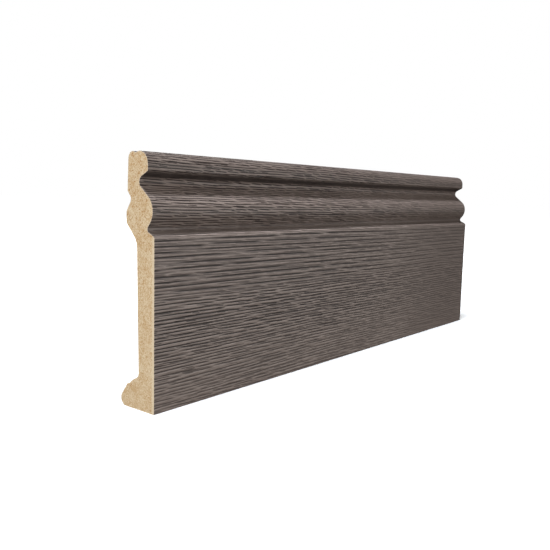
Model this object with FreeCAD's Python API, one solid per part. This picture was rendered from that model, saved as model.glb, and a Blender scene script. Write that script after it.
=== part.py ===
import FreeCAD, Part
import math
import os

# Short length of wrapped skirting board: a moulded fibreboard core with a woodgrain foil on its face.
#
# The section is drawn once, in the Y-Z plane, and drawn out along the length. Y runs from the bare
# face of the core (0) to the heel at the back, Z runs up from the underside. Every round of the
# section is a circle, and every straight stretch is the tangent from one circle to the next. A
# positive radius is a round of solid material, a negative one is a hollow and a zero one is a sharp
# corner. The members of the face are set back from the face and those of the back from the line of
# the heel. The head is stacked down from the top edge and the foot is stacked up from the underside,
# so that a round keeps its place against its neighbours when a size changes. Slopes are in degrees
# from level and all other sizes are in millimetres.

# Overall sizes
BOARD_LENGTH = 224.0
BOARD_HEIGHT = 80.0
BOARD_DEPTH = 16.0
FOIL_THICKNESS = 0.25

# Bead along the top of the face: a quarter round, a short upright flat and a tight lip
BEAD_SETBACK = 3.0
BEAD_RADIUS = 3.6
BEAD_FLAT = 1.7
LIP_RADIUS = 0.4
LIP_SLOPE = 28.0

# Cove under the bead, which runs out into the ogee
COVE_DEPTH = 6.95
COVE_RADIUS = 2.2
OGEE_SLOPE = 39.0
OGEE_SETBACK = 0.8
OGEE_RADIUS = 5.5

# Quirk, a small hollow under the ogee, and the eased arris of the flat face below it
QUIRK_SLOPE = 52.0
QUIRK_DEPTH = 3.2
QUIRK_RADIUS = 1.3
ARRIS_SLOPE = 24.0
ARRIS_RADIUS = 0.9

# Toe: the small round where the flat face meets the underside
TOE_RADIUS = 0.6

# Top edge: a rounded back shoulder, with a shallow groove between it and the bead
SHOULDER_RADIUS = 1.95
TOP_GROOVE_RADIUS = 0.7

# The foil laps over the top and stops part of the way down the shoulder, where its slope is this
FOIL_END_SLOPE = 40.0

# Upper land of the back, which leans out a little on its way down
LAND_FOOT_SETBACK = 3.45
LAND_LEAN = 0.45
LAND_LENGTH = 9.65
BACK_EDGE_RADIUS = 0.3

# Relief groove in the back, and the pad below it that beds against the wall
RELIEF_TOP_SLOPE = 49.0
RELIEF_DEPTH = 1.6
RELIEF_RADIUS = 1.7
RELIEF_FOOT_SLOPE = 57.0
PAD_SETBACK = 2.9
PAD_RADIUS = 1.8
PAD_FLAT = 2.9

# Long recess for cables, behind a web that thins a little towards the foot
RECESS_SLOPE = 47.0
RECESS_RADIUS = 6.0
WEB_TOP_THICKNESS = 7.85
WEB_FOOT_THICKNESS = 7.1
WEB_FOOT_RADIUS = 2.0

# Foot: a rounded heel, a narrow ledge above its sloping back, and a crowned top
HEEL_RADIUS = 2.4
HEEL_SLOPE = 54.0
LEDGE_HEIGHT = 7.5
LEDGE_WIDTH = 0.7
CROWN_SLOPE = 46.0
CROWN_RADIUS = 12.0

# Straights and turns smaller than this are left out
TINY = 1e-6


def heading_between(first, second):
    """Heading of the straight that leaves one circle and meets the next, on their signed radii."""
    (y1, z1), radius1 = first
    (y2, z2), radius2 = second
    lean = (radius2 - radius1) / math.dist((y1, z1), (y2, z2))
    if abs(abs(lean) - 1) < TINY:
        lean = math.copysign(1, lean)
    return math.atan2(z2 - z1, y2 - y1) + math.asin(lean)


def point_on(circle, heading):
    """Where an outline with this heading runs along the circle."""
    (y, z), radius = circle
    return (y - radius * math.sin(heading), z + radius * math.cos(heading))


def sloped_from(circle, y, radius, heading):
    """The circle at this Y whose common straight with the given one has this heading."""
    (y0, z0), radius0 = circle
    return ((y, z0 + (radius0 - radius + (y - y0) * math.sin(heading)) / math.cos(heading)), radius)


def cradled(left, right, radius):
    """The hollow that rests on two rounds and touches both."""
    (y1, z1), radius1 = left
    (y2, z2), radius2 = right
    span = math.dist((y1, z1), (y2, z2))
    reach = radius1 + radius
    along = (reach**2 - (radius2 + radius) ** 2 + span**2) / (2 * span)
    above = math.sqrt(reach**2 - along**2)
    across, rise = (y2 - y1) / span, (z2 - z1) / span
    return ((y1 + along * across - above * rise, z1 + along * rise + above * across), -radius)


def vector(point):
    """A point of the section, on the near end of the board."""
    (y, z) = point
    return FreeCAD.Vector(-BOARD_LENGTH / 2, y + FOIL_THICKNESS - BOARD_DEPTH / 2, z)


def straight(start, end):
    """The straight edge between two points, or nothing where they meet."""
    if math.dist(start, end) < TINY:
        return []
    return [Part.LineSegment(vector(start), vector(end)).toShape()]


def bend(circle, heading_in, heading_out):
    """The arc along a circle from one heading to another, or nothing at a sharp corner."""
    turn = (heading_out - heading_in + math.pi) % (2 * math.pi) - math.pi
    if abs(circle[1] * turn) < TINY:
        return []
    start, middle, end = [point_on(circle, heading_in + share * turn) for share in (0, 0.5, 1)]
    return [Part.Arc(vector(start), vector(middle), vector(end)).toShape()]


def outline(circles, heading_in, heading_out):
    """Edges along a chain of circles, between a heading on the first and a heading on the last."""
    headings = [heading_in]
    headings += [heading_between(circles[i], circles[i + 1]) for i in range(len(circles) - 1)]
    headings += [heading_out]
    edges = []
    for i, circle in enumerate(circles):
        edges += bend(circle, headings[i], headings[i + 1])
        if i + 1 < len(circles):
            start = point_on(circle, headings[i + 1])
            edges += straight(start, point_on(circles[i + 1], headings[i + 1]))
    return edges


def solid_from(edges):
    """The board-long solid whose section is the closed chain of edges."""
    wire = Part.Wire(Part.sortEdges(edges)[0])
    return Part.Face(wire).extrude(FreeCAD.Vector(BOARD_LENGTH, 0, 0))


def write(shape, name):
    """Save one checked solid."""
    if not shape.isValid() or len(shape.Solids) != 1:
        raise RuntimeError(name + " is not one valid solid")
    shape.Solids[0].exportStep("parts/" + name + ".step")


# Headings of the outline, which runs up the face, over the top and down the back
TOWARDS_FACE = math.radians(180)
LIP_HEADING = math.radians(180 - LIP_SLOPE)
OGEE_HEADING = math.radians(OGEE_SLOPE)
QUIRK_HEADING = math.radians(180 - QUIRK_SLOPE)
ARRIS_HEADING = math.radians(ARRIS_SLOPE)
RELIEF_TOP_HEADING = math.radians(180 + RELIEF_TOP_SLOPE)
RELIEF_FOOT_HEADING = math.radians(-RELIEF_FOOT_SLOPE)
RECESS_HEADING = math.radians(180 + RECESS_SLOPE)
CROWN_HEADING = math.radians(-CROWN_SLOPE)
HEEL_HEADING = math.radians(-HEEL_SLOPE)

core_top = BOARD_HEIGHT - FOIL_THICKNESS
core_back = BOARD_DEPTH - FOIL_THICKNESS

# Face, from the bead down
bead_level = core_top - BEAD_RADIUS
bead = ((BEAD_SETBACK + BEAD_RADIUS, bead_level), BEAD_RADIUS)
lip = ((BEAD_SETBACK + LIP_RADIUS, bead_level - BEAD_FLAT), LIP_RADIUS)
cove = sloped_from(lip, COVE_DEPTH - COVE_RADIUS, -COVE_RADIUS, LIP_HEADING)
ogee = sloped_from(cove, OGEE_SETBACK + OGEE_RADIUS, OGEE_RADIUS, OGEE_HEADING)
quirk = sloped_from(ogee, QUIRK_DEPTH - QUIRK_RADIUS, -QUIRK_RADIUS, QUIRK_HEADING)
arris = sloped_from(quirk, ARRIS_RADIUS, ARRIS_RADIUS, ARRIS_HEADING)
toe = ((TOE_RADIUS, TOE_RADIUS), TOE_RADIUS)

# Top edge
land_foot = core_back - LAND_FOOT_SETBACK
shoulder_level = core_top - SHOULDER_RADIUS
shoulder = ((land_foot - LAND_LEAN - SHOULDER_RADIUS, shoulder_level), SHOULDER_RADIUS)
top_groove = cradled(bead, shoulder, TOP_GROOVE_RADIUS)

# Back of the head, from the land down to the top of the recess
land_edge = ((land_foot - BACK_EDGE_RADIUS, shoulder_level - LAND_LENGTH), BACK_EDGE_RADIUS)
relief_y = land_foot - RELIEF_DEPTH + RELIEF_RADIUS
relief = sloped_from(land_edge, relief_y, -RELIEF_RADIUS, RELIEF_TOP_HEADING)
pad = sloped_from(relief, core_back - PAD_SETBACK - PAD_RADIUS, PAD_RADIUS, RELIEF_FOOT_HEADING)
pad_edge_level = pad[0][1] - PAD_FLAT
pad_edge = ((core_back - PAD_SETBACK - BACK_EDGE_RADIUS, pad_edge_level), BACK_EDGE_RADIUS)
recess_y = WEB_TOP_THICKNESS + RECESS_RADIUS
recess = sloped_from(pad_edge, recess_y, -RECESS_RADIUS, RECESS_HEADING)

# Foot, from the heel up: the ledge sits on the slope of the heel, the crown starts at the ledge and
# the round at the foot of the web touches the crown
heel = ((core_back - HEEL_RADIUS, HEEL_RADIUS), HEEL_RADIUS)
heel_top = point_on(heel, HEEL_HEADING)
ledge_outer_y = heel_top[0] + (LEDGE_HEIGHT - heel_top[1]) / math.tan(HEEL_HEADING)
ledge_outer = ((ledge_outer_y, LEDGE_HEIGHT), 0.0)
ledge_inner = ((ledge_outer_y - LEDGE_WIDTH, LEDGE_HEIGHT), 0.0)
crown_centre = point_on((ledge_inner[0], -CROWN_RADIUS), CROWN_HEADING)
crown = (crown_centre, CROWN_RADIUS)
web_foot_y = WEB_FOOT_THICKNESS + WEB_FOOT_RADIUS
web_foot_rise = math.sqrt((CROWN_RADIUS + WEB_FOOT_RADIUS) ** 2 - (web_foot_y - crown_centre[0]) ** 2)
web_foot = ((web_foot_y, crown_centre[1] + web_foot_rise), -WEB_FOOT_RADIUS)

# Core: once round the section, from the underside of the toe back to it
face_and_top = [toe, arris, quirk, ogee, cove, lip, bead, top_groove, shoulder]
back_and_foot = [
    land_edge,
    relief,
    pad,
    pad_edge,
    recess,
    web_foot,
    crown,
    ledge_inner,
    ledge_outer,
    heel,
]
core_edges = outline(face_and_top + back_and_foot, TOWARDS_FACE, TOWARDS_FACE)
core_edges += straight(point_on(heel, TOWARDS_FACE), point_on(toe, TOWARDS_FACE))

# Foil: the band between the face of the core and the same line moved out by its thickness. It
# starts on the toe where its own face is level with the underside.
foil_start = math.acos(-TOE_RADIUS / (TOE_RADIUS + FOIL_THICKNESS))
foil_end = math.radians(-FOIL_END_SLOPE)
foil_face = [(centre, radius + FOIL_THICKNESS) for centre, radius in face_and_top]
foil_edges = outline(face_and_top, foil_start, foil_end) + outline(foil_face, foil_start, foil_end)
foil_edges += straight(point_on(face_and_top[0], foil_start), point_on(foil_face[0], foil_start))
foil_edges += straight(point_on(face_and_top[-1], foil_end), point_on(foil_face[-1], foil_end))

os.makedirs("parts", exist_ok=True)
write(solid_from(core_edges), "fibreboard_core")
write(solid_from(foil_edges), "woodgrain_foil")
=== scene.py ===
"""Looks of a short length of wrapped skirting board: woodgrain foil over a raw fibreboard core."""

import math

import bpy
from mathutils import Matrix, Vector


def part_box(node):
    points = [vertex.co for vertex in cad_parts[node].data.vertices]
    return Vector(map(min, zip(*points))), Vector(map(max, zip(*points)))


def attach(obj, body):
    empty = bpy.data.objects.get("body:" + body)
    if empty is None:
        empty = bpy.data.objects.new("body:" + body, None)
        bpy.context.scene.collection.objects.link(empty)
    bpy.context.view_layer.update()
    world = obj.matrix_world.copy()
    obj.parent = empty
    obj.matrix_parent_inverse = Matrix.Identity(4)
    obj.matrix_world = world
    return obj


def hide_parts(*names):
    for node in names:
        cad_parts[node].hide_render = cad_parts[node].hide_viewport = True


bl_info = {
    "name": "Wrapped Skirting Board",
    "version": (1, 0, 0),
    "blender": (4, 5, 0),
    "location": "3D View > Sidebar > Skirting",
    "description": "Embossed foil, raw fibreboard and studio stage for a skirting board length",
    "category": "Object",
}

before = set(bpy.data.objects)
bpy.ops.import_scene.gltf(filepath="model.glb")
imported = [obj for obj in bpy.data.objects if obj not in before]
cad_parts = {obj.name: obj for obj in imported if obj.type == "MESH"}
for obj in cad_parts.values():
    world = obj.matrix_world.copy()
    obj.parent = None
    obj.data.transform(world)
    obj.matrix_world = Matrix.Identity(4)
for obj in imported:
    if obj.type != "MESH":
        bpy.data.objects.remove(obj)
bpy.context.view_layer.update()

MM = 0.001
TINY = 0.00001
CORE = "fibreboard_core"
FOIL = "woodgrain_foil"
CORE_LOW = Vector(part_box(CORE)[0])
FOIL_LOW, FOIL_HIGH = (Vector(corner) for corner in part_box(FOIL))
FOIL_THICKNESS = CORE_LOW.y - FOIL_LOW.y
BOARD_LENGTH = FOIL_HIGH.x - FOIL_LOW.x

# Rows and columns of the sheet that the grain is pressed into: under 200,000 triangles in all
SHEET_ROWS = 400
SHEET_COLUMNS = 210
CREASE_ANGLE = math.radians(50)

# Sizes on the flat foil are in millimetres: along from the near end, and up the foil from the toe.
# Long grooves lie in a band of the flat face, from here up to the arris, where the face gives way
# to the mouldings. The close grooves are fainter in the band by this share
BAND_START = {"From Min": 34.5, "From Max": 37.5, "To Min": 0.0, "To Max": 1.0}
FACE_END = {"From Min": 55.0, "From Max": 60.0, "To Min": 1.0, "To Max": 0.0}
CLOSE_LOSS = 0.4

# The grain falls a little toward the far end, per millimetre, and wanders in long waves
GRAIN_FALL = 0.002
GRAIN_WAVES = dict(along=110.0, across=30.0, seed=3.1)
GRAIN_WAVE_HEIGHT = 1.2

# Rows of grooves: how far apart the rows are, the width and length of a groove, its drop per
# millimetre, the seed of its chances, and the share of grooves left out
LONG_GROOVES = dict(spacing=1.85, width=0.56, length=42.0, drop=0.008, seed=4.7, left_out=-0.6)
FACE_GROOVES = dict(spacing=1.1, width=0.43, length=22.0, drop=0.02, seed=21.9, left_out=-0.5)
HEAD_GROOVES = dict(spacing=0.95, width=0.36, length=12.0, drop=0.028, seed=21.9, left_out=-0.5)
SHORT_PORES = dict(spacing=0.6, width=0.26, length=7.0, drop=0.026, seed=47.3, left_out=0.3)

# How the rows vary, in grooves along a row and in rows across it
DRIFT_LENGTH = 5.0
DRIFT_WIDTH = 6.0
ROW_DRIFT = 0.8
ROW_START = 23.0
STRETCH_PACE = 0.45
STRETCH = 2.2
OFF_ROW = 0.24

# How deep a groove is: how many of its chances are faint, where its ends start to thin out and
# how deep they are, and where its sides start and stop, in shares of its length or its width
FAINT_CHANCES = 0.6
TAPER_FROM = 0.34
END_DEPTH = 0.35
FULL_SIDE = 0.22
OUTER_SIDE = 0.68

# Where the press bites less, and how much is left there
FAR_BITE = {"From Min": 90.0, "From Max": 200.0, "To Min": 1.0, "To Max": 0.6}
TOE_BITE = {"From Min": 0.0, "From Max": 26.0, "To Min": 0.63, "To Max": 1.0}

# Pale streaks printed between the grooves, and where they fade; toward the far end the fade is
# painted shade, darkening the foil there
BROAD_STREAKS = dict(along=30.0, across=2.0, seed=31.7, detail=1.0)
FINE_STREAKS = dict(along=4.5, across=0.3, seed=63.1, detail=2.0)
BROAD_SHARE = 0.3
STREAK_TONES = {"From Min": 0.27, "From Max": 0.73, "To Min": 0.0, "To Max": 1.0}
FAR_PAINTED_SHADE = {"From Min": 130.0, "From Max": 200.0, "To Min": 1.0, "To Max": 0.1}
HEAD_FADE = {"From Min": 53.0, "From Max": 88.0, "To Min": 1.0, "To Max": 0.4}

# Painted shade in the quirk under the ogee and in the cove under the lip of the bead, darkening
# the hollows as their shadow would: the middle of the line on the flat foil, its reach to either
# side, and how dark it is against the ink of the grooves
PAINTED_SHADE_LINES = ((57.7, 2.3, 0.46), (78.5, 1.9, 0.78))
FULL_PAINTED_SHADE = 0.4

# Raw fibreboard, in millimetres: fibres in soft clouds, and brown bark specks among them. Real
# fibres are finer, and are drawn as coarse as they need to show
FIBRE_SIZE = 0.37
CLOUD_SIZE = 2.4
BARK_SIZE = 0.67
CLOUD_SHARE = 0.28
FELT_TONES = {"From Min": 0.405, "From Max": 0.865, "To Min": 0.0, "To Max": 1.0}
BARK_PEAKS = {"From Min": 0.57, "From Max": 0.7, "To Min": 0.0}

# The specks show more in the head of the board than in its foot
BARK_BY_HEIGHT = {"From Min": 40 * MM, "From Max": 66 * MM, "To Min": 0.45, "To Max": 0.8}

# A paler strip behind the foil, from the face of the core inwards: the dense skin of the board,
# and a painted highlight along the front edge of the sawn end
SKIN_AND_HIGHLIGHT_DEPTH = {
    "From Min": CORE_LOW.y + 0.3 * MM,
    "From Max": CORE_LOW.y + 1.2 * MM,
    "To Min": 0.6,
    "To Max": 0.0,
}

# The paper glows more with the distance from the board, in metres
FLOOR_SIZE = 12.0
PAPER_GLOW = {"From Min": 0.05, "From Max": 0.45, "To Min": 0.22, "To Max": 1.0}

# The camera, fitted to the corners of the board in the photograph
SENSOR_WIDTH = 36.0
CAMERA_LENS = 43.178
CAMERA_NEAR = 0.01
CAMERA_PLACE = Vector((-240.67, -159.09, 67.78)) * MM
CAMERA_RIGHT = Vector((0.63340, -0.77344, 0.02449))
CAMERA_UP = Vector((0.07752, 0.09491, 0.99246))

# Soft lights aimed at the middle of the board, in metres and watts: place, width, height, power
# and colour
LIGHT_TARGET = Vector((0.0, 0.0, 0.04))
LIGHTS = (
    ("overhead_light", (-0.2, -0.06, 1.15), 0.22, 0.22, 13.3, "#EFF6FF"),
    ("front_light", (-0.82, -1.0, 0.45), 0.5, 0.5, 3.1, "#FFFFFF"),
    ("low_left_light", (-0.9, -0.8, 0.035), 0.5, 0.06, 3.5, "#FFFFFF"),
    ("low_right_light", (0.6, -0.9, 0.035), 0.5, 0.06, 2.1, "#FFFFFF"),
    ("end_light", (-1.4, -0.2, 0.45), 0.6, 0.6, 12.1, "#FFFFFF"),
    ("back_light", (0.5, 1.2, 0.6), 0.6, 0.6, 10.0, "#FFFFFF"),
)


def linear(code):
    """A colour given as sRGB hex, as linear red, green, blue and full alpha."""
    values = [int(code[i : i + 2], 16) / 255 for i in (1, 3, 5)]
    return [v / 12.92 if v <= 0.04045 else ((v + 0.055) / 1.055) ** 2.4 for v in values] + [1.0]


def pick(piece=None):
    """Selects one piece and makes it active, or leaves nothing selected."""
    bpy.ops.object.select_all(action="DESELECT")
    bpy.context.view_layer.objects.active = piece
    if piece:
        piece.select_set(True)


def select_points(piece, wanted):
    """Selects, for edit mode, the vertices of the active mesh whose places pass a test."""
    bpy.ops.object.mode_set(mode="EDIT")
    bpy.ops.mesh.select_mode(type="VERT")
    bpy.ops.mesh.select_all(action="DESELECT")
    bpy.ops.object.mode_set(mode="OBJECT")
    for vertex in piece.data.vertices:
        vertex.select = wanted(vertex.co)
    bpy.ops.object.mode_set(mode="EDIT")


def add_node(tree, kind, inputs=None, **settings):
    """Adds a node with its settings; an input is a value, a socket or a node's first output."""
    node = tree.nodes.new(kind)
    for name, value in settings.items():
        setattr(node, name, value)
    for key, source in (inputs or {}).items():
        if isinstance(source, bpy.types.Node):
            tree.links.new(source.outputs[0], node.inputs[key])
        elif isinstance(source, bpy.types.NodeSocket):
            tree.links.new(source, node.inputs[key])
        else:
            node.inputs[key].default_value = source
    return node


def streaks(tree, place, along, across, seed, detail=0.0):
    """Soft streaks from 0 to 1, this long and this wide in millimetres of the flat foil."""
    # The seed gives the streaks a part of the noise to themselves
    scaled = add_node(
        tree,
        "ShaderNodeVectorMath",
        {0: place, 1: (1 / along, 1 / across, 0.0), 2: (seed, 1.7 * seed, 0.0)},
        operation="MULTIPLY_ADD",
    )
    return add_node(
        tree,
        "ShaderNodeTexNoise",
        {"Vector": scaled, "Scale": 1.0, "Detail": detail},
        noise_dimensions="2D",
    )


def pressed_grooves(tree, grain, spacing, width, length, drop, seed, left_out):
    """Rows of grooves along the grain, with depths from 0 to 1.

    Each groove has a chance from 0 to 1. It is left out up to the given share, is faint over the
    next FAINT_CHANCES and full beyond, so a share below 0 leaves none out and fewer faint.
    """
    parts = add_node(tree, "ShaderNodeSeparateXYZ", {0: grain})
    along, up = parts.outputs[0], parts.outputs[1]
    drift = streaks(tree, grain, DRIFT_LENGTH * length, DRIFT_WIDTH * spacing, seed)
    rows = add_node(
        tree, "ShaderNodeMath", {0: up, 1: 1 / spacing, 2: seed}, operation="MULTIPLY_ADD"
    )
    rows = add_node(
        tree, "ShaderNodeMath", {0: drift, 1: ROW_DRIFT, 2: rows}, operation="MULTIPLY_ADD"
    )
    row = add_node(tree, "ShaderNodeMath", {0: rows}, operation="FLOOR")
    across_row = add_node(tree, "ShaderNodeMath", {0: rows}, operation="FRACT")

    # Each row starts at its own place and stretches or squeezes its grooves
    row_chance = add_node(tree, "ShaderNodeTexWhiteNoise", {"W": row}, noise_dimensions="1D")
    start = add_node(
        tree,
        "ShaderNodeMath",
        {0: row_chance.outputs["Value"], 1: ROW_START, 2: seed},
        operation="MULTIPLY_ADD",
    )
    run = add_node(
        tree, "ShaderNodeMath", {0: along, 1: 1 / length, 2: start}, operation="MULTIPLY_ADD"
    )
    stretch = add_node(
        tree,
        "ShaderNodeTexNoise",
        {"W": run, "Scale": STRETCH_PACE, "Detail": 0.0},
        noise_dimensions="1D",
    )
    run = add_node(
        tree, "ShaderNodeMath", {0: stretch, 1: STRETCH, 2: run}, operation="MULTIPLY_ADD"
    )
    groove = add_node(tree, "ShaderNodeMath", {0: run}, operation="FLOOR")
    from_middle = add_node(tree, "ShaderNodeMath", {0: run}, operation="FRACT")
    from_middle = add_node(
        tree, "ShaderNodeMath", {0: from_middle, 1: 0.5}, operation="SUBTRACT"
    )

    # Chance decides how deep each groove is and how far it sits off the middle of its row
    groove_place = add_node(tree, "ShaderNodeCombineXYZ", {0: groove, 1: row, 2: seed})
    chance = add_node(
        tree, "ShaderNodeTexWhiteNoise", {"Vector": groove_place}, noise_dimensions="3D"
    )
    off_row = add_node(tree, "ShaderNodeSeparateXYZ", {0: chance.outputs["Color"]})
    strength = add_node(
        tree,
        "ShaderNodeMapRange",
        {
            "Value": chance.outputs["Value"],
            "From Min": left_out,
            "From Max": left_out + FAINT_CHANCES,
            "To Min": 0.0,
            "To Max": 1.0,
        },
        interpolation_type="SMOOTHSTEP",
    )
    to_end = add_node(tree, "ShaderNodeMath", {0: from_middle}, operation="ABSOLUTE")
    taper = add_node(
        tree,
        "ShaderNodeMapRange",
        {
            "Value": to_end,
            "From Min": TAPER_FROM,
            "From Max": 0.5,
            "To Min": 1.0,
            "To Max": END_DEPTH,
        },
        interpolation_type="SMOOTHSTEP",
    )
    strength = add_node(tree, "ShaderNodeMath", {0: strength, 1: taper}, operation="MULTIPLY")

    # The groove's own line slants through the row, and its sides fall off on either hand
    off_line = add_node(
        tree,
        "ShaderNodeMath",
        {0: from_middle, 1: drop * length / spacing, 2: across_row},
        operation="MULTIPLY_ADD",
    )
    off_line = add_node(
        tree,
        "ShaderNodeMath",
        {0: off_row.outputs[1], 1: OFF_ROW, 2: off_line},
        operation="MULTIPLY_ADD",
    )
    off_line = add_node(
        tree, "ShaderNodeMath", {0: off_line, 1: 0.5 + 0.5 * OFF_ROW}, operation="SUBTRACT"
    )
    off_line = add_node(tree, "ShaderNodeMath", {0: off_line}, operation="ABSOLUTE")
    line = add_node(
        tree,
        "ShaderNodeMapRange",
        {
            "Value": off_line,
            "From Min": FULL_SIDE * width / spacing,
            "From Max": OUTER_SIDE * width / spacing,
            "To Min": 1.0,
            "To Max": 0.0,
        },
        interpolation_type="SMOOTHSTEP",
    )
    return add_node(tree, "ShaderNodeMath", {0: line, 1: strength}, operation="MULTIPLY")


def oak_grain(tree, flat):
    """The pressed oak grain over the flat foil.

    Gives the depth of the grooves from 0 to 1 and the place in which the grain runs straight.
    """
    parts = add_node(tree, "ShaderNodeSeparateXYZ", {0: flat})
    along, girth = parts.outputs[0], parts.outputs[1]
    waves = streaks(tree, flat, **GRAIN_WAVES)
    level = add_node(
        tree, "ShaderNodeMath", {0: along, 1: GRAIN_FALL, 2: girth}, operation="MULTIPLY_ADD"
    )
    level = add_node(
        tree,
        "ShaderNodeMath",
        {0: waves, 1: GRAIN_WAVE_HEIGHT, 2: level},
        operation="MULTIPLY_ADD",
    )
    grain = add_node(tree, "ShaderNodeCombineXYZ", {0: along, 1: level})

    # The band starts along the grain and stops along the arris
    above_start = add_node(
        tree,
        "ShaderNodeMapRange",
        {"Value": level, **BAND_START},
        interpolation_type="SMOOTHSTEP",
    )
    flat_face = add_node(
        tree, "ShaderNodeMapRange", {"Value": girth, **FACE_END}, interpolation_type="SMOOTHSTEP"
    )
    band = add_node(
        tree, "ShaderNodeMath", {0: above_start, 1: flat_face}, operation="MULTIPLY"
    )
    close = add_node(
        tree, "ShaderNodeMath", {0: band, 1: -CLOSE_LOSS, 2: 1.0}, operation="MULTIPLY_ADD"
    )
    close_on_face = add_node(
        tree, "ShaderNodeMath", {0: close, 1: flat_face}, operation="MULTIPLY"
    )
    close_on_head = add_node(
        tree, "ShaderNodeMath", {0: close, 1: close_on_face}, operation="SUBTRACT"
    )

    # Long grooves fill the band, closer ones the rest of the face, and shorter ones the mouldings
    depth = pressed_grooves(tree, grain, **LONG_GROOVES)
    depth = add_node(tree, "ShaderNodeMath", {0: depth, 1: band}, operation="MULTIPLY")
    for grooves, share in (
        (FACE_GROOVES, close_on_face),
        (HEAD_GROOVES, close_on_head),
        (SHORT_PORES, close),
    ):
        lines = pressed_grooves(tree, grain, **grooves)
        lines = add_node(tree, "ShaderNodeMath", {0: lines, 1: share}, operation="MULTIPLY")
        depth = add_node(tree, "ShaderNodeMath", {0: depth, 1: lines}, operation="MAXIMUM")

    # The press bites less toward the far end and low on the face
    far = add_node(
        tree, "ShaderNodeMapRange", {"Value": along, **FAR_BITE}, interpolation_type="SMOOTHSTEP"
    )
    toe = add_node(
        tree, "ShaderNodeMapRange", {"Value": girth, **TOE_BITE}, interpolation_type="SMOOTHSTEP"
    )
    bite = add_node(tree, "ShaderNodeMath", {0: far, 1: toe}, operation="MULTIPLY")
    return add_node(tree, "ShaderNodeMath", {0: depth, 1: bite}, operation="MULTIPLY"), grain


def foil_outline():
    """The foil's outer face at the near end as a smooth curve that starts at the toe."""
    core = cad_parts[CORE]
    pick(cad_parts[FOIL])
    bpy.ops.object.duplicate()
    outline = bpy.context.active_object
    outline.name = "foil_outline"
    bpy.ops.object.mode_set(mode="EDIT")
    bpy.ops.mesh.select_all(action="SELECT")
    bpy.ops.mesh.remove_doubles(threshold=0.1 * TINY)
    bpy.ops.object.mode_set(mode="OBJECT")

    def not_on_the_line(place):
        on_core = (core.closest_point_on_mesh(place)[1] - place).length < 0.5 * FOIL_THICKNESS
        return on_core or place.x > 0

    select_points(outline, not_on_the_line)
    bpy.ops.mesh.delete(type="VERT")
    bpy.ops.object.mode_set(mode="OBJECT")
    bpy.ops.object.convert(target="CURVE")
    outline = bpy.context.active_object
    spline = outline.data.splines[0]
    bpy.ops.object.mode_set(mode="EDIT")
    bpy.ops.curve.select_all(action="SELECT")
    if spline.points[0].co.z > spline.points[-1].co.z:
        bpy.ops.curve.switch_direction()
    bpy.ops.curve.spline_type_set(type="NURBS")
    bpy.ops.object.mode_set(mode="OBJECT")
    spline = outline.data.splines[0]
    spline.order_u = 3
    spline.use_endpoint_u = True
    spline.resolution_u = 6
    return outline


def flat_slab(name, girth):
    """The foil before it is wrapped: a closed flat slab, finely divided outside, plain inside."""
    pick()
    bpy.ops.mesh.primitive_grid_add(
        x_subdivisions=SHEET_COLUMNS,
        y_subdivisions=SHEET_ROWS,
        size=1.0,
        location=(0.0, 0.5 * girth, 0.0),
    )
    slab = bpy.context.active_object
    slab.name = name
    slab.scale = (BOARD_LENGTH, girth, 1.0)
    bpy.ops.object.transform_apply(location=True, rotation=True, scale=True)
    half = 0.5 * BOARD_LENGTH

    def on_rim(place):
        return abs(place.x) > half - TINY or place.y < TINY or place.y > girth - TINY

    def below(place):
        return place.z < -0.5 * FOIL_THICKNESS

    select_points(slab, on_rim)
    bpy.ops.mesh.extrude_edges_move(
        TRANSFORM_OT_translate={"value": (0.0, 0.0, -FOIL_THICKNESS)}
    )
    select_points(slab, lambda place: below(place) and abs(place.x) < half - TINY)
    bpy.ops.mesh.dissolve_verts()

    # The glue side spans from the near end's lower edges to the far end's
    bpy.ops.mesh.select_mode(type="EDGE")
    bpy.ops.mesh.select_all(action="DESELECT")
    bpy.ops.object.mode_set(mode="OBJECT")
    for edge in slab.data.edges:
        first, second = (slab.data.vertices[index].co for index in edge.vertices)
        at_one_end = abs(first.x) > half - TINY and abs(first.x - second.x) < TINY
        edge.select = at_one_end and below(first) and below(second)
    bpy.ops.object.mode_set(mode="EDIT")
    bpy.ops.mesh.bridge_edge_loops()
    bpy.ops.mesh.select_all(action="SELECT")
    bpy.ops.mesh.normals_make_consistent(inside=False)
    bpy.ops.object.mode_set(mode="OBJECT")
    return slab


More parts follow.
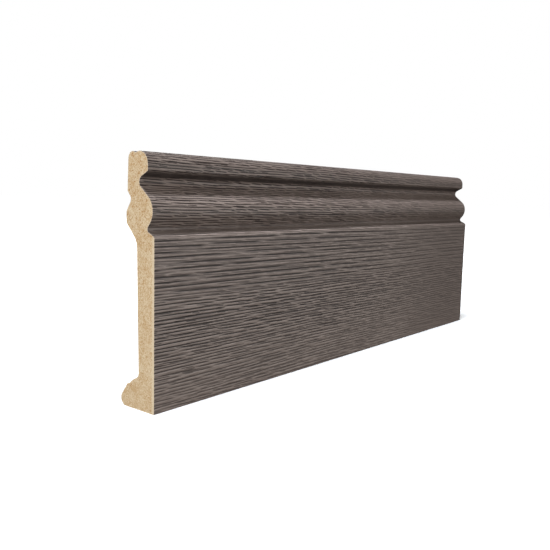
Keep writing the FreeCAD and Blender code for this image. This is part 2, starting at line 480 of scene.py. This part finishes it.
def emboss_and_wrap(slab, outline, emboss_depth):
    """Presses the grain into the flat slab and bends it round the moulded face."""
    tree = bpy.data.node_groups.new("Emboss and Wrap", "GeometryNodeTree")
    tree.interface.new_socket("Geometry", in_out="INPUT", socket_type="NodeSocketGeometry")
    tree.interface.new_socket("Geometry", in_out="OUTPUT", socket_type="NodeSocketGeometry")
    source = add_node(tree, "NodeGroupInput")
    place = add_node(
        tree, "ShaderNodeSeparateXYZ", {0: add_node(tree, "GeometryNodeInputPosition")}
    )
    along, girth, level = place.outputs

    # The grain is laid out in millimetres, and only the outer side takes it
    along_mm = add_node(
        tree,
        "ShaderNodeMath",
        {0: along, 1: 1 / MM, 2: 0.5 * BOARD_LENGTH / MM},
        operation="MULTIPLY_ADD",
    )
    girth_mm = add_node(tree, "ShaderNodeMath", {0: girth, 1: 1 / MM}, operation="MULTIPLY")
    flat = add_node(tree, "ShaderNodeCombineXYZ", {0: along_mm, 1: girth_mm})
    grooves, _ = oak_grain(tree, flat)
    outer = add_node(
        tree, "ShaderNodeMath", {0: level, 1: -0.5 * FOIL_THICKNESS}, operation="GREATER_THAN"
    )
    grooves = add_node(tree, "ShaderNodeMath", {0: grooves, 1: outer}, operation="MULTIPLY")
    height = add_node(
        tree,
        "ShaderNodeMath",
        {0: grooves, 1: -emboss_depth, 2: level},
        operation="MULTIPLY_ADD",
    )

    # The outline's heading, turned by a quarter, points out of the face all round the girth
    curve = add_node(
        tree, "GeometryNodeObjectInfo", {"Object": outline}, transform_space="ORIGINAL"
    )
    sample = add_node(
        tree,
        "GeometryNodeSampleCurve",
        {"Curves": curve.outputs["Geometry"], "Length": girth},
        mode="LENGTH",
        use_all_curves=True,
    )
    heading = add_node(tree, "ShaderNodeSeparateXYZ", {0: sample.outputs["Tangent"]})
    inward = add_node(
        tree, "ShaderNodeMath", {0: heading.outputs[2], 1: -1.0}, operation="MULTIPLY"
    )
    outward = add_node(tree, "ShaderNodeCombineXYZ", {1: inward, 2: heading.outputs[1]})
    lifted = add_node(
        tree, "ShaderNodeVectorMath", {0: outward, "Scale": height}, operation="SCALE"
    )
    section = add_node(
        tree,
        "ShaderNodeVectorMath",
        {0: sample.outputs["Position"], 1: (0.0, 1.0, 1.0)},
        operation="MULTIPLY",
    )
    wrapped = add_node(tree, "ShaderNodeVectorMath", {0: section, 1: lifted}, operation="ADD")
    length = add_node(tree, "ShaderNodeCombineXYZ", {0: along})
    wrapped = add_node(tree, "ShaderNodeVectorMath", {0: wrapped, 1: length}, operation="ADD")
    moved = add_node(tree, "GeometryNodeSetPosition", {"Geometry": source, "Position": wrapped})
    add_node(tree, "NodeGroupOutput", {0: moved})
    press = slab.modifiers.new("Emboss and Wrap", "NODES")
    press.node_group = tree
    pick(slab)
    bpy.ops.object.modifier_apply(modifier=press.name)


def decor_foil_material(colours):
    """PVC decor foil, printed with oak and rolled under a grain roller.

    It is a matt grey-brown, with dark ink down the grooves and pale streaks between them.
    """
    material = bpy.data.materials.new("Embossed oak decor foil")
    material.use_nodes = True
    tree = material.node_tree
    tree.nodes.clear()
    uv = add_node(tree, "ShaderNodeUVMap", uv_map="foil_flat")
    flat = add_node(tree, "ShaderNodeVectorMath", {0: uv, "Scale": 1 / MM}, operation="SCALE")
    grooves, grain = oak_grain(tree, flat)

    broad = streaks(tree, grain, **BROAD_STREAKS)
    fine = streaks(tree, grain, **FINE_STREAKS)
    tone = add_node(tree, "ShaderNodeMath", {0: broad, 1: BROAD_SHARE}, operation="MULTIPLY")
    tone = add_node(
        tree, "ShaderNodeMath", {0: fine, 1: 1 - BROAD_SHARE, 2: tone}, operation="MULTIPLY_ADD"
    )
    tone = add_node(
        tree,
        "ShaderNodeMapRange",
        {"Value": tone, **STREAK_TONES},
        interpolation_type="SMOOTHSTEP",
    )
    along, girth, _ = add_node(tree, "ShaderNodeSeparateXYZ", {0: flat}).outputs
    # Painted shade: the foil turns darker toward the far end as its pale streaks fade
    far = add_node(
        tree, "ShaderNodeMapRange", {"Value": along, **FAR_PAINTED_SHADE}, interpolation_type="SMOOTHSTEP"
    )
    head = add_node(tree, "ShaderNodeMapRange", {"Value": girth, **HEAD_FADE})
    tone = add_node(tree, "ShaderNodeMath", {0: tone, 1: far}, operation="MULTIPLY")
    tone = add_node(tree, "ShaderNodeMath", {0: tone, 1: head}, operation="MULTIPLY")
    colour = add_node(
        tree,
        "ShaderNodeMix",
        {"Factor": tone, 6: linear(colours.foil_dark), 7: linear(colours.foil_pale)},
        data_type="RGBA",
    )

    # Painted shade darkens the hollows, mixed toward the ink of the grooves
    for middle, reach, amount in PAINTED_SHADE_LINES:
        off = add_node(tree, "ShaderNodeMath", {0: girth, 1: middle}, operation="SUBTRACT")
        off = add_node(tree, "ShaderNodeMath", {0: off}, operation="ABSOLUTE")
        painted_shade = add_node(
            tree,
            "ShaderNodeMapRange",
            {
                "Value": off,
                "From Min": FULL_PAINTED_SHADE * reach,
                "From Max": reach,
                "To Min": amount,
                "To Max": 0.0,
            },
            interpolation_type="SMOOTHSTEP",
        )
        grooves = add_node(tree, "ShaderNodeMath", {0: grooves, 1: painted_shade}, operation="MAXIMUM")
    colour = add_node(
        tree,
        "ShaderNodeMix",
        {"Factor": grooves, 6: colour.outputs[2], 7: linear(colours.foil_groove)},
        data_type="RGBA",
    )
    surface = add_node(
        tree,
        "ShaderNodeBsdfPrincipled",
        {"Base Color": colour.outputs[2], "Roughness": 0.48, "IOR": 1.5},
    )
    add_node(tree, "ShaderNodeOutputMaterial", {"Surface": surface})
    return material


def raw_fibreboard_material(colours):
    """Raw medium density fibreboard, sawn at its ends and moulded along its back.

    It is a matt tan felt, speckled with bark where it is sawn and smoother where it is moulded.
    """
    material = bpy.data.materials.new("Raw medium density fibreboard")
    material.use_nodes = True
    tree = material.node_tree
    tree.nodes.clear()
    place = add_node(tree, "ShaderNodeTexCoord").outputs["Object"]
    _, depth, height = add_node(tree, "ShaderNodeSeparateXYZ", {0: place}).outputs
    normal = add_node(tree, "ShaderNodeNewGeometry").outputs["Normal"]
    facing = add_node(tree, "ShaderNodeSeparateXYZ", {0: normal})
    sawn = add_node(tree, "ShaderNodeMath", {0: facing.outputs[0]}, operation="ABSOLUTE")

    fibres = add_node(
        tree,
        "ShaderNodeTexNoise",
        {"Vector": place, "Scale": 1 / (FIBRE_SIZE * MM), "Detail": 2.0, "Roughness": 0.7},
    )
    clouds = add_node(
        tree,
        "ShaderNodeTexNoise",
        {"Vector": place, "Scale": 1 / (CLOUD_SIZE * MM), "Detail": 1.0},
    )
    felt = add_node(
        tree, "ShaderNodeMath", {0: clouds, 1: CLOUD_SHARE, 2: fibres}, operation="MULTIPLY_ADD"
    )
    felt = add_node(
        tree, "ShaderNodeMapRange", {"Value": felt, **FELT_TONES}, interpolation_type="SMOOTHSTEP"
    )
    colour = add_node(
        tree,
        "ShaderNodeMix",
        {"Factor": felt, 6: linear(colours.fibre_dark), 7: linear(colours.fibre_pale)},
        data_type="RGBA",
    )

    # Bark shows where the noise peaks, and only where the saw has laid it open
    most = add_node(
        tree,
        "ShaderNodeMapRange",
        {"Value": height, **BARK_BY_HEIGHT},
        interpolation_type="SMOOTHSTEP",
    )
    bark = add_node(
        tree,
        "ShaderNodeTexNoise",
        {"Vector": place, "Scale": 1 / (BARK_SIZE * MM), "Detail": 1.0},
    )
    bark = add_node(
        tree,
        "ShaderNodeMapRange",
        {"Value": bark, **BARK_PEAKS, "To Max": most},
        interpolation_type="SMOOTHSTEP",
    )
    bark = add_node(tree, "ShaderNodeMath", {0: bark, 1: sawn}, operation="MULTIPLY")
    colour = add_node(
        tree,
        "ShaderNodeMix",
        {"Factor": bark, 6: colour.outputs[2], 7: linear(colours.fibre_bark)},
        data_type="RGBA",
    )

    # The strip behind the foil is paler than the middle of the board: its dense skin, and a painted
    # highlight along the front edge of the sawn end
    skin_and_highlight = add_node(
        tree,
        "ShaderNodeMapRange",
        {"Value": depth, **SKIN_AND_HIGHLIGHT_DEPTH},
        interpolation_type="SMOOTHSTEP",
    )
    skin_and_highlight = add_node(tree, "ShaderNodeMath", {0: skin_and_highlight, 1: sawn}, operation="MULTIPLY")
    colour = add_node(
        tree,
        "ShaderNodeMix",
        {"Factor": skin_and_highlight, 6: colour.outputs[2], 7: linear(colours.fibre_skin_and_highlight)},
        data_type="RGBA",
    )
    surface = add_node(
        tree,
        "ShaderNodeBsdfPrincipled",
        {"Base Color": colour.outputs[2], "Roughness": 0.95, "Specular IOR Level": 0.2},
    )
    add_node(tree, "ShaderNodeOutputMaterial", {"Surface": surface})
    return material


def foil_edge_material(colours):
    """Pale base film and glue line at the sawn edge of the foil, and a painted highlight on that
    edge:
    a thin light rim on the core.
    """
    material = bpy.data.materials.new("Pale base film and painted edge highlight of the foil")
    material.use_nodes = True
    tree = material.node_tree
    tree.nodes.clear()
    surface = add_node(
        tree,
        "ShaderNodeBsdfPrincipled",
        {"Base Color": linear(colours.foil_edge), "Roughness": 0.7},
    )
    add_node(tree, "ShaderNodeOutputMaterial", {"Surface": surface})
    return material


def white_paper_material():
    """Matt white background paper, lit from behind further out, to meet the white backdrop."""
    material = bpy.data.materials.new("Matt white background paper")
    material.use_nodes = True
    tree = material.node_tree
    tree.nodes.clear()
    place = add_node(tree, "ShaderNodeTexCoord").outputs["Object"]
    distance = add_node(tree, "ShaderNodeVectorMath", {0: place}, operation="LENGTH")
    glow = add_node(
        tree,
        "ShaderNodeMapRange",
        {"Value": distance.outputs["Value"], **PAPER_GLOW},
        interpolation_type="SMOOTHSTEP",
    )
    surface = add_node(
        tree,
        "ShaderNodeBsdfPrincipled",
        {
            "Base Color": linear("#EEEEEE"),
            "Roughness": 0.9,
            "Emission Color": linear("#FFFFFF"),
            "Emission Strength": glow,
        },
    )
    add_node(tree, "ShaderNodeOutputMaterial", {"Surface": surface})
    return material


class BoardLooks(bpy.types.PropertyGroup):
    """Sizes and colours of the board's finishes."""

    emboss_depth: bpy.props.FloatProperty(
        name="Emboss Depth",
        description="How deep the oak grain is pressed into the foil",
        default=0.12 * MM,
        min=0.0,
        max=0.2 * MM,
        precision=5,
        unit="LENGTH",
    )
    foil_dark: bpy.props.StringProperty(
        name="Foil Dark Colour",
        description="Darker grey-brown of the printed oak, as sRGB hex",
        default="#81736B",
    )
    foil_pale: bpy.props.StringProperty(
        name="Foil Pale Colour",
        description="Pale streaks of the printed oak, as sRGB hex",
        default="#A6978E",
    )
    foil_groove: bpy.props.StringProperty(
        name="Foil Groove Colour",
        description="Dark ink in the pressed grooves, as sRGB hex",
        default="#281F1C",
    )
    # Pale edge of the foil: base film, and a painted highlight along the sawn edge
    foil_edge: bpy.props.StringProperty(
        name="Foil Edge Colour",
        description="Pale base film at the sawn edge of the foil, as sRGB hex",
        default="#DAC6AB",
    )
    fibre_dark: bpy.props.StringProperty(
        name="Fibre Dark Colour",
        description="Darker fibres of the raw board, as sRGB hex",
        default="#C19D6F",
    )
    fibre_pale: bpy.props.StringProperty(
        name="Fibre Pale Colour",
        description="Paler fibres of the raw board, as sRGB hex",
        default="#E3D1B1",
    )
    fibre_bark: bpy.props.StringProperty(
        name="Fibre Bark Colour",
        description="Brown bark specks in the sawn board, as sRGB hex",
        default="#A8743C",
    )
    # Pale strip at the face of the core: dense skin, and a painted highlight along the sawn edge
    fibre_skin_and_highlight: bpy.props.StringProperty(
        name="Fibre Skin Colour",
        description="Pale dense skin at the face of the board, as sRGB hex",
        default="#E8D9BE",
    )


class SKIRTING_OT_wrap_foil(bpy.types.Operator):
    """Build the embossed foil and wrap it round the moulded face"""

    bl_idname = "skirting.wrap_foil"
    bl_label = "Wrap Embossed Foil"

    def execute(self, context):
        looks = context.scene.board_looks
        outline = foil_outline()
        girth = outline.data.splines[0].calc_length()
        slab = flat_slab("embossed_foil", girth)
        flat_places = slab.data.uv_layers.active
        flat_places.name = "foil_flat"
        for loop, flat in zip(slab.data.loops, flat_places.data):
            place = slab.data.vertices[loop.vertex_index].co
            flat.uv = (place.x + 0.5 * BOARD_LENGTH, place.y)
        emboss_and_wrap(slab, outline, looks.emboss_depth)
        bpy.data.objects.remove(outline)
        if not slab.data.polygons:
            raise RuntimeError("the foil has no faces")
        bpy.ops.object.shade_smooth_by_angle(angle=CREASE_ANGLE)
        slab.data.materials.append(decor_foil_material(looks))
        slab.data.materials.append(foil_edge_material(looks))
        for face in slab.data.polygons:
            if abs(face.center.x) > 0.5 * BOARD_LENGTH - TINY:
                face.material_index = 1
        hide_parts(FOIL)
        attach(slab, "root")
        return {"FINISHED"}


class SKIRTING_OT_finish_core(bpy.types.Operator):
    """Give the moulded core its raw fibreboard finish"""

    bl_idname = "skirting.finish_core"
    bl_label = "Finish Raw Core"

    def execute(self, context):
        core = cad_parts[CORE]
        core.data.materials.clear()
        core.data.materials.append(raw_fibreboard_material(context.scene.board_looks))
        return {"FINISHED"}


class SKIRTING_OT_set_stage(bpy.types.Operator):
    """Put the board on a pale floor under soft lights, with the camera on the cut end"""

    bl_idname = "skirting.set_stage"
    bl_label = "Set Studio Stage"

    def execute(self, context):
        scene = context.scene
        pick()
        bpy.ops.mesh.primitive_plane_add(size=FLOOR_SIZE, location=(0.0, 0.0, 0.0))
        floor = context.active_object
        floor.name = "studio_floor"
        bpy.ops.object.transform_apply(location=True, rotation=True, scale=True)
        floor.visible_diffuse = False
        floor.visible_glossy = False
        floor.data.materials.append(white_paper_material())

        bpy.ops.object.camera_add()
        camera = context.active_object
        camera.name = "photo_camera"
        camera.data.sensor_width = SENSOR_WIDTH
        camera.data.lens = CAMERA_LENS
        camera.data.clip_start = CAMERA_NEAR
        camera_back = CAMERA_RIGHT.cross(CAMERA_UP).normalized()
        turn = Matrix((CAMERA_RIGHT, CAMERA_UP, camera_back)).transposed().to_4x4()
        camera.matrix_world = Matrix.Translation(CAMERA_PLACE) @ turn
        scene.camera = camera

        # White backdrop that is seen but lights nothing, so that the hollows stay dark
        world = bpy.data.worlds.new("White backdrop")
        world.use_nodes = True
        background = world.node_tree.nodes["Background"]
        background.inputs["Color"].default_value = (1.0, 1.0, 1.0, 1.0)
        scene.world = world
        world.cycles_visibility.diffuse = False
        world.cycles_visibility.glossy = False
        scene.view_settings.view_transform = "Standard"

        for name, spot, width, height, power, tint in LIGHTS:
            bpy.ops.object.light_add(type="AREA", location=spot)
            light = context.active_object
            light.name = name
            light.data.shape = "RECTANGLE"
            light.data.size = width
            light.data.size_y = height
            light.data.energy = power
            light.data.color = linear(tint)[:3]

            # The end light mirrored in the foil would glare down its hollows from the far end
            light.visible_glossy = name != "end_light"
            aim = (LIGHT_TARGET - Vector(spot)).to_track_quat("-Z", "Y")
            light.rotation_euler = aim.to_euler()
        return {"FINISHED"}


class SKIRTING_PT_board(bpy.types.Panel):
    """Sizes, colours and building steps of the skirting board"""

    bl_label = "Wrapped Skirting Board"
    bl_idname = "SKIRTING_PT_board"
    bl_space_type = "VIEW_3D"
    bl_region_type = "UI"
    bl_category = "Skirting"

    def draw(self, context):
        looks = context.scene.board_looks
        for name in BoardLooks.__annotations__:
            self.layout.prop(looks, name)
        for operator in (SKIRTING_OT_wrap_foil, SKIRTING_OT_finish_core, SKIRTING_OT_set_stage):
            self.layout.operator(operator.bl_idname)


CLASSES = (
    BoardLooks,
    SKIRTING_OT_wrap_foil,
    SKIRTING_OT_finish_core,
    SKIRTING_OT_set_stage,
    SKIRTING_PT_board,
)


def register():
    for kind in CLASSES:
        bpy.utils.register_class(kind)
    bpy.types.Scene.board_looks = bpy.props.PointerProperty(type=BoardLooks)


def unregister():
    del bpy.types.Scene.board_looks
    for kind in reversed(CLASSES):
        bpy.utils.unregister_class(kind)


def main():
    register()
    bpy.ops.skirting.wrap_foil()
    bpy.ops.skirting.finish_core()
    bpy.ops.skirting.set_stage()


if __name__ == "__main__":
    main()
